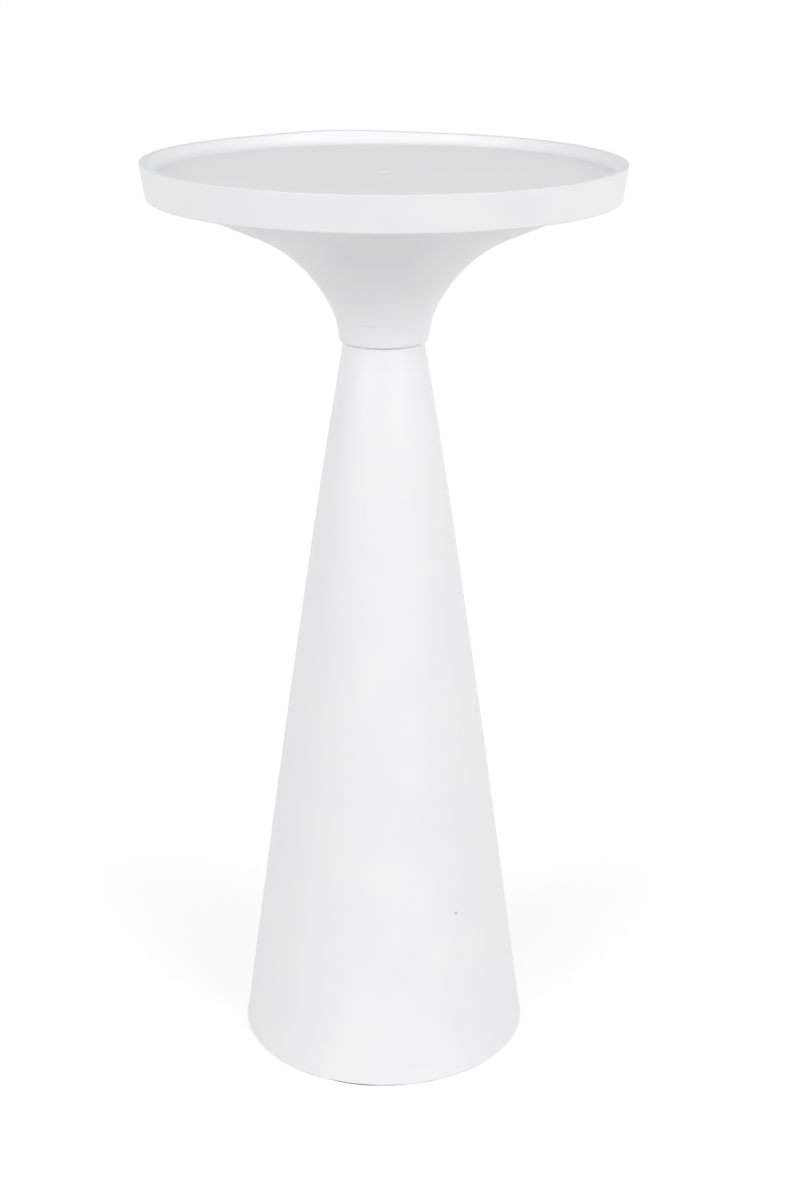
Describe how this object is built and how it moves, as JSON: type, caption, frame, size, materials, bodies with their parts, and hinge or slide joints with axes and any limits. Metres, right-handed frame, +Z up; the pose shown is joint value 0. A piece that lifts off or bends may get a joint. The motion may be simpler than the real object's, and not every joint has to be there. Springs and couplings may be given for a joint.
{
  "type": "side table",
  "caption": "Pedestal side table: a round tray with a raised rim on a trumpet neck, seated on a tall hollow cone, held together by a tie rod; it carries small things beside a chair.",
  "frame": {"origin": "centre of the felt's underside, on the floor", "axes": "+Z up along the table's axis of revolution; X and Y are free, the cover screws start on +X"},
  "size_m": [0.2996, 0.2996, 0.6],
  "materials": {
    "white_coat": "satin",
    "black_steel": "matte",
    "zinc_steel": "satin",
    "weight_iron": "matte",
    "fibreboard": "matte",
    "brown_felt": "matte"
  },
  "bodies": {
    "root": {"tray_top": "white_coat", "trumpet_neck": "white_coat", "neck_coupler": "black_steel", "cone_base": "white_coat", "tie_rod": "zinc_steel", "lock_spring_washer": "zinc_steel", "lock_nut": "zinc_steel", "base_weight": "weight_iron", "clamp_washer": "zinc_steel", "clamp_spring_washer": "zinc_steel", "clamp_nut": "zinc_steel", "base_cover": "fibreboard", "cover_screws": "zinc_steel", "felt_pad": "brown_felt"}
  },
  "joints": []
}
